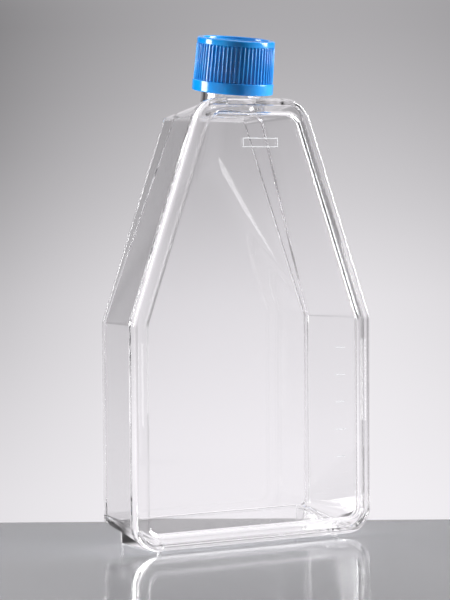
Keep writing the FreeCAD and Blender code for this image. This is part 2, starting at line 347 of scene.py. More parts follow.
@dataclass(frozen=True)
class ClearPlastic:
    """Clear moulded polystyrene: polished, with a faint waviness from the mould."""

    name: str = "clear polystyrene"
    tint: Colour = (0.978, 0.976, 0.98)
    shadow_tint: Colour = (0.9, 0.91, 0.92)
    ior: float = 1.59
    wave_stretch: Point = (1.0, 1.0, 0.35)
    wave_scale: float = 26.0
    wave_detail: float = 2.0
    waviness: float = 0.012
    wave_height: float = 0.0005
    wipe_scale: float = 90.0
    wipe_detail: float = 4.0
    wipe_span: Flat = (0.45, 0.8)
    haze: float = 0.035

    def material(self) -> bpy.types.Material:
        """Make the material; light reaches the bench through it.

        Returns:
            The material.
        """
        material, nodes, place = start_material(self.name)
        flow = nodes.add("ShaderNodeMapping", {"Vector": place, "Scale": self.wave_stretch})
        wave = nodes.noise(flow.outputs[0], self.wave_scale, self.wave_detail)
        wipe = nodes.noise(place, self.wipe_scale, self.wipe_detail)
        plastic = nodes.add("ShaderNodeBsdfPrincipled", {
            "Base Color": rgba(self.tint), "IOR": self.ior, "Transmission Weight": 1.0,
            "Roughness": nodes.remap(wipe, self.wipe_span, (0.0, self.haze)),
            "Normal": nodes.bump(wave, self.waviness, self.wave_height)})
        through = nodes.add("ShaderNodeBsdfTransparent", {"Color": rgba(self.shadow_tint)})
        shadow = nodes.add("ShaderNodeLightPath").outputs["Is Shadow Ray"]
        mixed = nodes.add("ShaderNodeMixShader", {0: shadow, 1: plastic.outputs[0],
                                                  2: through.outputs[0]})
        nodes.add("ShaderNodeOutputMaterial", {"Surface": mixed.outputs[0]})
        return material


@dataclass(frozen=True)
class CapPlastic:
    """Blue polypropylene: an even colour, a soft gloss and fine moulding grain."""

    name: str = "blue polypropylene"
    deep: Colour = (0.0, 0.15, 0.55)
    bright: Colour = (0.0, 0.28, 0.74)
    ior: float = 1.49
    cloud_scale: float = 60.0
    cloud_detail: float = 3.0
    tone_span: Flat = (0.2, 0.55)
    gloss_span: Flat = (0.3, 0.7)
    gloss: Flat = (0.09, 0.18)
    grain_scale: float = 1500.0
    grain_detail: float = 2.0
    grain: float = 0.06
    grain_height: float = 0.0002

    def material(self) -> bpy.types.Material:
        """Make the material.

        Returns:
            The material.
        """
        material, nodes, place = start_material(self.name)
        cloud = nodes.noise(place, self.cloud_scale, self.cloud_detail)
        grain = nodes.noise(place, self.grain_scale, self.grain_detail)
        plastic = nodes.add("ShaderNodeBsdfPrincipled", {
            "Base Color": nodes.two_tone(cloud, rgba(self.deep), rgba(self.bright), self.tone_span),
            "Roughness": nodes.remap(cloud, self.gloss_span, self.gloss), "IOR": self.ior,
            "Normal": nodes.bump(grain, self.grain, self.grain_height)})
        nodes.add("ShaderNodeOutputMaterial", {"Surface": plastic.outputs[0]})
        return material


@dataclass(frozen=True)
class PalePlastic:
    """An off-white soft plastic or ink, with a little unevenness."""

    name: str
    colour: Colour
    roughness: float
    shade: float = 0.88
    cloud_scale: float = 400.0
    cloud_detail: float = 3.0
    grain: float = 0.1
    grain_height: float = 0.0001

    def material(self) -> bpy.types.Material:
        """Make the material.

        Returns:
            The material.
        """
        material, nodes, place = start_material(self.name)
        cloud = nodes.noise(place, self.cloud_scale, self.cloud_detail)
        plastic = nodes.add("ShaderNodeBsdfPrincipled", {
            "Base Color": nodes.two_tone(cloud, rgba(self.colour, self.shade), rgba(self.colour)),
            "Roughness": self.roughness,
            "Normal": nodes.bump(cloud, self.grain, self.grain_height)})
        nodes.add("ShaderNodeOutputMaterial", {"Surface": plastic.outputs[0]})
        return material


SEAL_FOAM = PalePlastic("seal foam", (0.82, 0.83, 0.85), 0.6)
WHITE_PRINT = PalePlastic("white print", (0.7, 0.71, 0.73), 0.5)


@dataclass(frozen=True)
class TableTop:
    """A grey laboratory bench top: smooth laminate that mirrors softly.

    To rays that were mirrored or bent by the plastic it shows painted light in place of its lit colour: a
    painted pale glow in front of the flask and a painted shadow behind it.
    """

    name: str = "bench laminate"
    colour: Colour = (0.2, 0.2, 0.208)
    shades: Flat = (0.95, 1.05)
    roughness: float = 0.1
    ior: float = 1.5
    cloud_scale: float = 6.0
    cloud_detail: float = 5.0
    span: float = 0.5  # metres in front of and behind the flask that the tones reach
    # painted light and shade by depth: a pale glow in front of the flask, a painted shadow behind it
    painted_seen_through: tuple[Flat, ...] = (
        (-0.8, 0.42), (-0.62, 0.98), (0.02, 0.98), (0.042, 0.06), (0.16, 0.06), (0.3, 0.42))

    def material(self) -> bpy.types.Material:
        """Make the material.

        Returns:
            The material.
        """
        material, nodes, place = start_material(self.name)
        cloud = nodes.noise(place, self.cloud_scale, self.cloud_detail)
        dark, light = (rgba(self.colour, shade) for shade in self.shades)
        top = nodes.add("ShaderNodeBsdfPrincipled", {
            "Base Color": nodes.two_tone(cloud, dark, light), "Roughness": self.roughness,
            "IOR": self.ior})
        # painted shade and glow: mirrored and bent rays see the bench glow with a tone set by depth, dark
        # behind the flask
        behind = nodes.add("ShaderNodeSeparateXYZ", {0: place}).outputs["Y"]
        shade = nodes.level(nodes.math("DIVIDE", behind, self.span), self.painted_seen_through)
        painted_glow = nodes.add("ShaderNodeEmission", {"Color": shade, "Strength": 1.0})
        path = nodes.add("ShaderNodeLightPath").outputs
        through = nodes.math("MAXIMUM", path["Is Transmission Ray"], path["Is Glossy Ray"])
        both = nodes.add("ShaderNodeMixShader", {0: through, 1: top.outputs[0], 2: painted_glow.outputs[0]})
        nodes.add("ShaderNodeOutputMaterial", {"Surface": both.outputs[0]})
        return material


# ---------------------------------------------------------------- meshes


def make_object(name: str, points: Iterable[Sequence[float]], faces: Iterable[Sequence[int]],
                finish: bpy.types.Material | None = None) -> bpy.types.Object:
    """Make a mesh object from points in millimetres.

    Args:
        name: the object's name.
        points: corner positions.
        faces: corner numbers of each face.
        finish: the material, if any.

    Returns:
        The object, linked to the scene, with outward normals.
    """
    mesh = bpy.data.meshes.new(name)
    mesh.from_pydata([tuple(value * MM for value in point) for point in points], [], list(faces))
    work = bmesh.new()
    work.from_mesh(mesh)
    bmesh.ops.remove_doubles(work, verts=work.verts, dist=MERGE)
    bmesh.ops.recalc_face_normals(work, faces=work.faces)
    work.to_mesh(mesh)
    work.free()
    piece = bpy.data.objects.new(name, mesh)
    bpy.context.scene.collection.objects.link(piece)
    if finish:
        mesh.materials.append(finish)
    return piece


def prism(name: str, first: Sequence[Point], second: Sequence[Point],
          finish: bpy.types.Material | None = None) -> bpy.types.Object:
    """Make a solid between two loops of as many points.

    Args:
        name: the object's name.
        first: the first loop, in order.
        second: the second loop, in the same order.
        finish: the material, if any.

    Returns:
        The object.
    """
    count = len(first)
    faces = [tuple(range(count)), tuple(range(count, 2 * count))]
    for step in range(count):
        after = (step + 1) % count
        faces.append((step, after, count + after, count + step))
    return make_object(name, [*first, *second], faces, finish)


def smooth(piece: bpy.types.Object, angle: float, weighted: bool = True) -> None:
    """Shade a piece smooth, with sharp edges over an angle.

    Args:
        piece: the object.
        angle: edges sharper than this stay sharp.
        weighted: whether large faces keep their own normals.
    """
    piece.data.polygons.foreach_set("use_smooth", [True] * len(piece.data.polygons))
    piece.data.set_sharp_from_angle(angle=math.radians(angle))
    if weighted:
        modifier = piece.modifiers.new("weighted", "WEIGHTED_NORMAL")
        modifier.mode = "FACE_AREA"
        modifier.keep_sharp = True
        keep_result(piece)


def bevel(piece: bpy.types.Object, width: float) -> None:
    """Round all edges of a piece.

    Args:
        piece: the object.
        width: how far the rounding reaches, in metres.
    """
    modifier = piece.modifiers.new("bevel", "BEVEL")
    modifier.width = width
    modifier.segments = 3
    keep_result(piece)


def combine(piece: bpy.types.Object, tool: bpy.types.Object, way: Join) -> None:
    """Add a tool to a piece or cut it out of it, and delete the tool.

    Args:
        piece: the object that is kept.
        tool: the object that goes.
        way: whether it is added or cut.
    """
    modifier = piece.modifiers.new("combine", "BOOLEAN")
    modifier.operation = way.value
    modifier.solver = "EXACT"
    modifier.object = tool
    keep_result(piece)
    bpy.data.objects.remove(tool, do_unlink=True)


def rounded_path(path: Sequence[tuple[float, ...]], steps: int) -> list[tuple[float, ...]]:
    """Round the corners of a path.

    Args:
        path: points whose last number is the rounding radius there; the first two are the position.
        steps: pieces in each rounding.

    Returns:
        The points of the rounded path, without the radius.
    """
    result: list[tuple[float, ...]] = []
    for number, point in enumerate(path):
        radius = point[-1]
        if radius <= 0 or number in (0, len(path) - 1):
            result.append(tuple(point[:-1]))
            continue
        here = Vector(point[:-1])
        before = Vector(path[number - 1][:-1]) - here
        after = Vector(path[number + 1][:-1]) - here
        turn = math.pi - Vector(before[:2]).angle(Vector(after[:2]))
        reach = radius * math.tan(turn / 2)
        first = here + before * (reach / Vector(before[:2]).length)
        last = here + after * (reach / Vector(after[:2]).length)
        weight = math.cos(turn / 2)
        for step in range(steps + 1):
            share = step / steps
            ends = first * (1 - share) ** 2 + last * share ** 2
            middle = here * (2 * share * (1 - share) * weight)
            total = (1 - share) ** 2 + share ** 2 + 2 * share * (1 - share) * weight
            result.append(tuple((ends + middle) / total))
    return result


@dataclass(frozen=True)
class Outline:
    """The flask's outline seen from the front, and rings of points along it."""

    half_width: float = 61.5
    bottom: float = 1.5
    shoulder: float = 101.0
    top: float = 198.5
    slant: float = 19.7
    radii: dict[Corner, float] = field(default_factory=lambda: {
        Corner.LOW: 12.0, Corner.SHOULDER: 12.0, Corner.TOP: 14.0})
    columns: int = 64
    arc_steps: dict[Corner, int] = field(default_factory=lambda: {
        Corner.LOW: 12, Corner.SHOULDER: 8, Corner.TOP: 12})
    side_steps: int = 10
    slant_steps: int = 56

    def side(self, inset: float, loss: float) -> list[Flat]:
        """Points up the right-hand side.

        Args:
            inset: how far the outline is moved in.
            loss: how much smaller the corner radii are.

        Returns:
            Positions from the end of the bottom edge to the start of the top edge.
        """
        lean = math.radians(self.slant)
        half = self.half_width - inset
        middle = self.shoulder - inset * math.tan(lean / 2)
        high = self.top - inset
        narrow = half - (high - middle) * math.tan(lean)
        along = (-math.sin(lean), math.cos(lean))
        corners = [
            (Corner.LOW, (half, self.bottom + inset), (1.0, 0.0), (0.0, 1.0)),
            (Corner.SHOULDER, (half, middle), (0.0, 1.0), along),
            (Corner.TOP, (narrow, high), along, (-1.0, 0.0)),
        ]
        low, shoulder, top = (self._arc(*corner, self.radii[corner[0]] - loss) for corner in corners)
        return (low + self._between(low[-1], shoulder[0], self.side_steps) + shoulder
                + self._between(shoulder[-1], top[0], self.slant_steps) + top)

    def _arc(self, corner: Corner, point: Flat, into: Flat, out: Flat, radius: float) -> list[Flat]:
        """The points of one rounded corner.

        Args:
            corner: which corner it is.
            point: where it would be without the rounding.
            into: direction of the edge that comes in.
            out: direction of the edge that goes out.
            radius: of the rounding.

        Returns:
            The points, in order.
        """
        turn = math.acos(into[0] * out[0] + into[1] * out[1])
        reach = radius * math.tan(turn / 2)
        start = (point[0] - into[0] * reach, point[1] - into[1] * reach)
        centre = (start[0] - into[1] * radius, start[1] + into[0] * radius)
        away = (start[0] - centre[0], start[1] - centre[1])
        steps = self.arc_steps[corner]
        points = []
        for step in range(steps + 1):
            angle = turn * step / steps
            points.append((centre[0] + away[0] * math.cos(angle) - away[1] * math.sin(angle),
                           centre[1] + away[0] * math.sin(angle) + away[1] * math.cos(angle)))
        return points

    @staticmethod
    def _between(first: Flat, last: Flat, steps: int) -> list[Flat]:
        """The points inside a straight run, its ends left out."""
        return [(first[0] + (last[0] - first[0]) * step / steps,
                 first[1] + (last[1] - first[1]) * step / steps) for step in range(1, steps)]

    def ring(self, inset: float, loss: float) -> list[Flat]:
        """A closed ring of points, from the left end of the bottom edge round by the right.

        Args:
            inset: how far the outline is moved in.
            loss: how much smaller the corner radii are.

        Returns:
            Places across and heights.
        """
        right = self.side(inset, loss)
        left = [(-x, z) for x, z in reversed(right)]
        bottom = self._between(left[-1], right[0], self.columns)
        top = self._between(right[-1], left[0], self.columns)
        return bottom + right + top + left

    def ring_at(self, depth: float, inset: float, loss: float) -> list[Point]:
        """The ring with those sizes, at a depth behind the weld plane."""
        return [(x, WELD + depth, z) for x, z in self.ring(inset, loss)]

    def rows(self, count: int) -> list[list[int]]:
        """Ring numbers of the edge points, grouped for a grid fill.

        Args:
            count: how many points a ring has.

        Returns:
            The numbers along the bottom edge, those of each pair in between, and those along the top.
        """
        inner = self.columns - 1
        side = (count - 2 * inner) // 2
        bottom = [count - 1, *range(inner), inner]
        pairs = [[count - 1 - step, inner + step] for step in range(1, side - 1)]
        top = [inner + side - 1 + step for step in range(self.columns + 1)]
        return [bottom, *pairs, list(reversed(top))]


class Shell:
    """A closed skin made of rings and filled ends."""

    def __init__(self, outline: Outline) -> None:
        """Start an empty skin.

        Args:
            outline: the outline whose rings it takes.
        """
        self.outline = outline
        self.points: list[Point] = []
        self.faces: list[tuple[int, ...]] = []
        self.first: list[int] = []
        self.last: list[int] = []

    def ring(self, points: Sequence[Point]) -> None:
        """Add a ring and join it to the one before.

        Args:
            points: the ring's points.
        """
        start = len(self.points)
        self.points.extend(points)
        here = list(range(start, start + len(points)))
        if not self.last:
            self.first = self.last = here
            return
        for step in range(len(here)):
            after = (step + 1) % len(here)
            self.faces.append((self.last[step], self.last[after], here[after], here[step]))
        self.last = here

    def fill(self, ring: Sequence[int], surface: Callable[[float, float], float],
             spread: Callable[[float, float], list[float]] | None = None) -> None:
        """Fill a ring with a grid.

        Args:
            ring: point numbers of the ring.
            surface: gives the depth coordinate at a place.
            spread: gives the inner columns' places for a half width and a height; even without it.
        """
        columns = self.outline.columns
        rows: list[list[int]] = []
        for numbers in self.outline.rows(len(ring)):
            if len(numbers) == columns + 1:
                rows.append([ring[number] for number in numbers])
                continue
            half, _, z = self.points[ring[numbers[1]]]
            places = spread(half, z) if spread else [
                half * (2.0 * step / columns - 1.0) for step in range(1, columns)]
            row = [ring[numbers[0]]]
            for x in places:
                row.append(len(self.points))
                self.points.append((x, surface(x, z), z))
            rows.append([*row, ring[numbers[1]]])
        for low, high in zip(rows, rows[1:]):
            for step in range(columns):
                self.faces.append((low[step], low[step + 1], high[step + 1], high[step]))

    def make(self, name: str, finish: bpy.types.Material | None = None) -> bpy.types.Object:
        """The skin as an object."""
        return make_object(name, self.points, self.faces, finish)


def lathe(name: str, section: Sequence[Flat], steps: int, place: Matrix,
          finish: bpy.types.Material | None = None) -> bpy.types.Object:
    """Turn a section about the vertical axis.

    Args:
        name: the object's name.
        section: radius and height along the section, which closes on itself or on the axis.
        steps: pieces round the axis.
        place: where the turned shape goes.
        finish: the material, if any.

    Returns:
        The object.
    """
    points: list[Point] = []
    rings: list[list[int]] = []
    for radius, height in section:
        count = steps if radius > ON_AXIS else 1
        rings.append([len(points) + step for step in range(count)])
        for step in range(count):
            angle = math.tau * step / steps
            points.append(tuple(place @ Vector((radius * math.cos(angle), radius * math.sin(angle),
                                                height))))
    faces: list[tuple[int, ...]] = []
    pairs = list(zip(rings, rings[1:]))
    if section[0][0] > ON_AXIS:
        pairs.append((rings[-1], rings[0]))
    for low, high in pairs:
        if len(low) == len(high) == 1:
            continue
        for step in range(steps):
            after = (step + 1) % steps
            if len(low) == 1:
                faces.append((low[0], high[after], high[step]))
            elif len(high) == 1:
                faces.append((low[step], low[after], high[0]))
            else:
                faces.append((low[step], low[after], high[after], high[step]))
    return make_object(name, points, faces, finish)


@dataclass(frozen=True)
class NeckAxis:
    """The canted axis of the neck and the cap, from the cap's lower edge."""

    depth: float = -1.97
    height: float = 202.0
    cant: float = 9.0

    def matrix(self) -> Matrix:
        """The place of shapes drawn about +Z."""
        turn = Matrix.Rotation(math.radians(self.cant), 4, "X")
        return Matrix.Translation((0.0, self.depth, self.height)) @ turn

    def stand(self, nodes: Nodes, shape: bpy.types.NodeSocket, given: bpy.types.Node) -> None:
        """End a tree by standing its shape on the axis.

        Args:
            nodes: the tree's helper.
            shape: the geometry drawn about +Z.
            given: the tree's input node, with Turn, Place and Finish.
        """
        placed = nodes.add("GeometryNodeTransform", {
            "Geometry": shape, "Translation": given.outputs["Place"],
            "Rotation": given.outputs["Turn"]})
        close_tree(nodes, placed.outputs[0], given)

    def inputs(self, start: float) -> dict[str, object]:
        """The values of Turn and Place for a shape that starts so far up the axis."""
        foot = self.matrix() @ Vector((0.0, 0.0, start))
        return {"Turn": (math.radians(self.cant), 0.0, 0.0), "Place": tuple(foot * MM)}


# ---------------------------------------------------------------- the flask's pieces


@dataclass(frozen=True)
class BackWall:
    """The flat back wall and the two ramps over it, which meet in a rounded fold."""

    flat: float = 38.0
    apex: float = 176.0
    lean: float = 12.6
    fold: float = 17.0
    rounding: float = 30.0
    blend: float = 1.6
    band: float = 5.0
    least_crease: float = 12.0
    centre_columns: int = 14
    band_columns: int = 8

    def depth(self, x: float, z: float, offset: float) -> float:
        """Depth of the wall.

        Args:
            x: place across the flask.
            z: height over the bench.
            offset: distance in front of the wall's outer face.

        Returns:
            The depth behind the weld plane.
        """
        lean, fold = math.radians(self.lean), math.radians(self.fold)
        radius = self.rounding - offset
        if abs(x) < radius * math.sin(fold):
            rise = math.sqrt(radius * radius - x * x) - (radius + offset) / math.cos(fold)
        else:
            rise = -offset / math.cos(fold) - math.tan(fold) * abs(x)
        flat = self.flat - offset
        ramp = self.flat + rise / math.cos(lean) - (z - self.apex) * math.tan(lean)
        return 0.5 * (flat + ramp - math.hypot(flat - ramp, self.blend))

    def spread(self, half: float, z: float, columns: int, offset: float) -> list[float]:
        """Places of the inner grid columns, gathered along the crease below the ramps.

        Args:
            half: half the width of the row.
            z: the row's height.
            columns: how many columns the grid has.
            offset: distance in front of the wall's outer face.

        Returns:
            The places from left to right.
        """
        lean, fold = math.radians(self.lean), math.radians(self.fold)
        crease = ((self.apex - z) * math.sin(lean) + offset * (math.cos(lean) - 1.0 / math.cos(fold))) \
            / math.tan(fold)
        crease = max(self.least_crease, min(crease, half - 2.0 * self.band))
        knots = [(0.0, self.centre_columns), (crease - self.band, self.band_columns),
                 (crease + self.band, columns // 2 - self.centre_columns - self.band_columns), (half, 0)]
        right = [low + (high - low) * step / steps
                 for (low, steps), (high, _) in zip(knots, knots[1:]) for step in range(steps)]
        return [-x for x in reversed(right[1:])] + right


@dataclass
class Tub:
    """The clear tub with its neck, flange, foot ribs and the skirt that stands behind the back."""

    rim: Outline
    outline: Outline
    axis: NeckAxis
    back: BackWall
    depth: float = 40.0
    draft: float = 8.8
    wall: float = 1.8
    lip: float = 1.2
    flange: float = 2.2
    skirt: float = 1.6
    edge: float = 0.4
    rim_step: float = 0.6
    rim_rear: float = 0.3
    rim_front: float = 0.25
    fillet: float = 0.05
    fillet_steps: int = 5
    fillet_weight: float = 1.42
    meeting_rounds: int = 12
    mouth_depth: float = 0.35
    mouth_step: float = 0.2
    overrun: float = 2.0
    neck_radius: float = 14.0
    neck_edge: float = 0.6
    bore_radius: float = 12.1
    bore_overrun: float = 3.0
    neck_root: float = 12.0
    neck_reach: float = 19.8
    neck_steps: int = 96
    foot_place: float = 46.5
    foot_wall: float = 2.0
    foot_span: Flat = (3.0, 36.5)
    foot_top: float = 9.5
    foot_edge: float = 0.35
    sharp: float = 28.0

    def slope(self) -> float:
        """How far a drafted wall moves in for each millimetre of depth."""
        return math.tan(math.radians(self.draft))

    def wall_ring(self, base: float, depth: float) -> list[Point]:
        """A ring on a drafted wall, from the wall's inset at the weld plane and the ring's depth."""
        loss = depth * self.slope()
        return self.outline.ring_at(depth, base + loss, loss)

    def back_ring(self, base: float, offset: float, shift: float, inset: float) -> list[Point]:
        """A ring where a drafted wall meets the back wall.

        Args:
            base: inset of the wall at the weld plane.
            offset: distance of the back surface in front of the back wall's outer face.
            shift: how far behind the meeting line the ring lies, along the wall.
            inset: how far inside the meeting line the ring lies, on the back.

        Returns:
            The ring's points.
        """
        slope = self.slope()
        still = self.outline.ring(base + inset, inset)
        moved = self.outline.ring(base + inset + slope, inset + slope)
        points = []
        for (x0, z0), (x1, z1) in zip(still, moved):
            depth = self.back.flat
            for _ in range(self.meeting_rounds):
                depth = self.back.depth(x0 + (x1 - x0) * depth, z0 + (z1 - z0) * depth, offset)
            depth += shift
            points.append((x0 + (x1 - x0) * depth, WELD + depth, z0 + (z1 - z0) * depth))
        return points

    def start_skin(self, base: float, offset: float, size: float) -> Shell:
        """Start a skin with the fillet from the back surface to a wall.

        Args:
            base: the wall's inset.
            offset: distance of the back surface in front of the outer face.
            size: radius; positive runs along the wall to the rear, negative to the front.

        Returns:
            The skin, whose first ring lies on the back.
        """
        shell = Shell(self.outline)
        start = self.back_ring(base, offset, 0.0, abs(size))
        corner = self.back_ring(base, offset, 0.0, 0.0)
        end = self.back_ring(base, offset, size, 0.0)
        for step in range(self.fillet_steps + 1):
            share = step / self.fillet_steps
            weights = ((1 - share) ** 2, self.fillet_weight * share * (1 - share), share ** 2)
            total = sum(weights)
            shell.ring([tuple(sum(weight * value for weight, value in zip(weights, values)) / total
                              for values in zip(*points))
                        for points in zip(start, corner, end)])
        return shell

    def close_skin(self, shell: Shell, offset: float, front: float) -> None:
        """Fill a skin's first ring with the back surface and its last with a flat face.

        Args:
            shell: the skin.
            offset: distance of the back surface in front of the back wall's outer face.
            front: depth of the flat face behind the weld plane.
        """
        shell.fill(shell.first, lambda x, z: WELD + self.back.depth(x, z, offset),
                   lambda half, z: self.back.spread(half, z, self.outline.columns, offset))
        shell.fill(shell.last, lambda x, z: WELD + front)

    def outer(self) -> bpy.types.Object:
        """The tub's outer form, closed at the weld plane.

        Returns:
            The solid.
        """
        inner, outer, edge = self.lip + self.skirt, self.lip, self.edge
        shell = self.start_skin(inner, 0.0, self.fillet)
        rear = rounded_path([
            (inner, self.depth - 1.0, 0.0), (inner, self.depth, edge), (outer, self.depth, edge),
            (outer, self.flange, edge), (outer - edge, self.flange, 0.0)], steps=4)
        for base, depth in rear:
            shell.ring(self.wall_ring(base, depth))
        front = rounded_path([
            (self.rim_step, self.flange, 0.0), (0.0, self.flange, self.rim_rear),
            (0.0, 0.0, self.rim_front), (self.rim_step, 0.0, 0.0)], steps=4)
        for inset, depth in front:
            shell.ring(self.rim.ring_at(depth, inset, 0.0))
        self.close_skin(shell, 0.0, 0.0)
        return shell.make("flask_tub")

    def cavity(self) -> bpy.types.Object:
        """The tub's inside, run out past the weld plane.

        Returns:
            The solid to cut.
        """
        base = self.lip + self.wall
        mouth = base - self.mouth_step
        shell = self.start_skin(base, self.wall, -self.fillet)
        shell.ring(self.wall_ring(base, self.mouth_depth))
        shell.ring(self.wall_ring(mouth, 0.0))
        shell.ring(self.outline.ring_at(-self.overrun, mouth, 0.0))
        self.close_skin(shell, self.wall, -self.overrun)
        return shell.make("cavity")

    def neck(self, radius: float, end: float, edge: float) -> bpy.types.Object:
        """The neck or its bore, from its flat end inside the tub.

        Args:
            radius: its radius.
            end: how far up the axis it ends.
            edge: rounding of its upper edge.

        Returns:
            The solid.
        """
        path = [(0.0, -self.neck_root, 0.0), (radius, -self.neck_root, 0.0), (radius, end, edge),
                (0.0, end, 0.0)]
        return lathe("neck", rounded_path(path, steps=6), self.neck_steps, self.axis.matrix())

    def foot(self, side: int) -> bpy.types.Object:
        """One foot rib.

        Args:
            side: -1 for the left one, 1 for the right one.

        Returns:
            The solid.
        """
        middle, half = side * self.foot_place, self.foot_wall / 2
        low, high = (WELD + value for value in self.foot_span)
        loops = [[(middle + x * half, y, z) for x, y in ((-1, low), (1, low), (1, high), (-1, high))]
                 for z in (0.0, self.foot_top)]
        rib = prism("foot", *loops)
        bevel(rib, self.foot_edge * MM)
        return rib

    def build(self, finish: bpy.types.Material) -> bpy.types.Object:
        """Make the tub as one closed piece.

        Args:
            finish: the clear plastic.

        Returns:
            The piece.
        """
        piece = self.outer()
        combine(piece, self.neck(self.neck_radius, self.neck_reach, self.neck_edge), Join.ADD)
        for side in (-1, 1):
            combine(piece, self.foot(side), Join.ADD)
        combine(piece, self.cavity(), Join.CUT)
        combine(piece, self.neck(self.bore_radius, self.neck_reach + self.bore_overrun, 0.0), Join.CUT)
        piece.data.materials.clear()
        piece.data.materials.append(finish)
        smooth(piece, self.sharp)
        return piece


@dataclass
class FrontPlate:
    """The clear front plate with the bead round its edge."""

    outline: Outline
    gap: float = 0.03
    bead_width: float = 7.0
    bead_height: float = 3.8
    bead_edge: float = 1.7
    bead_root: float = 0.7
    rim_step: float = 0.6
    rim_edge: float = 0.25
    face_step: float = 1.5
    sharp: float = 50.0

    def build(self, finish: bpy.types.Material) -> bpy.types.Object:
        """Make the plate.

        Args:
            finish: the clear plastic.

        Returns:
            The piece.
        """
        shell = Shell(self.outline)
        path = rounded_path([
            (self.rim_step, -self.gap, 0.0, 0.0),
            (0.0, -self.gap, 0.0, self.rim_edge),
            (0.0, -self.bead_height, 0.0, self.bead_edge),
            (self.bead_width, -self.bead_height, self.bead_width, self.bead_edge),
            (self.bead_width, -PLATE, self.bead_width, self.bead_root),
            (self.bead_width + self.face_step, -PLATE, self.bead_width, 0.0),
        ], steps=7)
        for inset, depth, loss in path:
            shell.ring(self.outline.ring_at(depth, inset, loss))
        shell.fill(shell.first, lambda x, z: WELD - self.gap)
        shell.fill(shell.last, lambda x, z: WELD - PLATE)
        piece = shell.make("front_plate", finish)
        smooth(piece, self.sharp)
        return piece


@dataclass
class ScrewCap:
    """The blue cap: collar, ribbed wall, raised lip and recessed top."""

    axis: NeckAxis
    collar: float = 18.2
    collar_height: float = 5.0
    low: float = 17.25
    high: float = 16.85
    lip: float = 17.4
    lip_start: float = 21.2
    lip_rise: float = 0.5
    height: float = 23.8
    lip_width: float = 2.6
    lip_slope: float = 0.3
    recess: float = 1.3
    bore: float = 15.6
    roof: float = 1.6
    wall_steps: int = 128
    rib_count: int = 60
    rib_proud: float = 0.62
    rib_width: float = 1.0
    rib_ends: Flat = (-0.3, 0.2)
    rib_levels: tuple[Flat, ...] = (
        (0.0, -0.25), (0.02, 0.6), (0.05, 1.0), (0.5, 1.0), (0.93, 1.0), (0.975, 0.75), (1.0, -0.25))
    rib_profile: tuple[Flat, ...] = (
        (-0.5, -0.4), (-0.46, 0.35), (-0.27, 0.85), (0.0, 1.0), (0.27, 0.85), (0.46, 0.35), (0.5, -0.4))
    sharp: float = 40.0

    def wall(self, finish: bpy.types.Material) -> bpy.types.Object:
        """Make the turned wall and top.

        Args:
            finish: the blue plastic.

        Returns:
            The piece.
        """
        deck = self.height - self.recess
        under = deck - self.roof
        inside = self.lip - self.lip_width
        section = rounded_path([
            (self.bore, 0.0, 0.0), (self.collar, 0.0, 0.3), (self.collar, self.collar_height, 0.5),
            (self.low, self.collar_height, 0.15), (self.high, self.lip_start - self.lip_rise, 0.1),
            (self.lip, self.lip_start, 0.2), (self.lip, self.height, 0.9),
            (inside, self.height, 0.7), (inside - self.lip_slope, deck, 0.4),
            (0.0, deck, 0.0), (0.0, under, 0.0), (self.bore, under, 0.5), (self.bore, 0.0, 0.0),
        ], steps=4)
        piece = lathe("screw_cap_wall", section[:-1], self.wall_steps, self.axis.matrix(), finish)
        smooth(piece, self.sharp)
        return piece

    def rib(self) -> bpy.types.Object:
        """One grip rib at the +X side, drawn about the cap's own axis, with rounded ends.

        Returns:
            The rib.
        """
        start = self.collar_height + self.rib_ends[0]
        end = self.lip_start + self.rib_ends[1]
        points, faces = [], []
        for share, proud in self.rib_levels:
            height = start + (end - start) * share
            radius = self.low + (self.high - self.low) * share
            for across, out in self.rib_profile:
                points.append((radius + self.rib_proud * min(out, proud), across * self.rib_width, height))
        count, top = len(self.rib_profile), len(self.rib_levels) - 1
        for level in range(top):
            for step in range(count):
                after = (step + 1) % count
                low, high = level * count, (level + 1) * count
                faces.append((low + step, low + after, high + after, high + step))
        faces.append(tuple(range(count)))
        faces.append(tuple(range(top * count, (top + 1) * count)))
        return make_object("screw_cap_ribs", points, faces)

    def ribs(self, finish: bpy.types.Material) -> bpy.types.Object:
        """Make all grip ribs, repeated round the axis.

        Args:
            finish: the blue plastic.

        Returns:
            The piece.
        """
        piece = self.rib()
        smooth(piece, self.sharp, weighted=False)
        nodes, given = geometry_tree("grip ribs", {"Count": "Int", "Turn": "Vector", "Place": "Vector"})
        line = nodes.add("GeometryNodeMeshLine", {
            "Count": given.outputs["Count"], "Offset": (0.0, 0.0, 0.0)}, mode="OFFSET")
        number = nodes.add("GeometryNodeInputIndex").outputs[0]
        step = nodes.math("DIVIDE", math.tau, given.outputs["Count"])
        angle = nodes.add("ShaderNodeCombineXYZ", {"Z": nodes.math("MULTIPLY", number, step)})
        copies = nodes.add("GeometryNodeInstanceOnPoints", {
            "Points": line.outputs[0], "Instance": given.outputs["Geometry"],
            "Rotation": angle.outputs[0]})
        self.axis.stand(nodes, copies.outputs[0], given)
        run_tree(piece, nodes.tree, {
            "Count": self.rib_count, "Finish": finish, **self.axis.inputs(0.0)})
        return piece


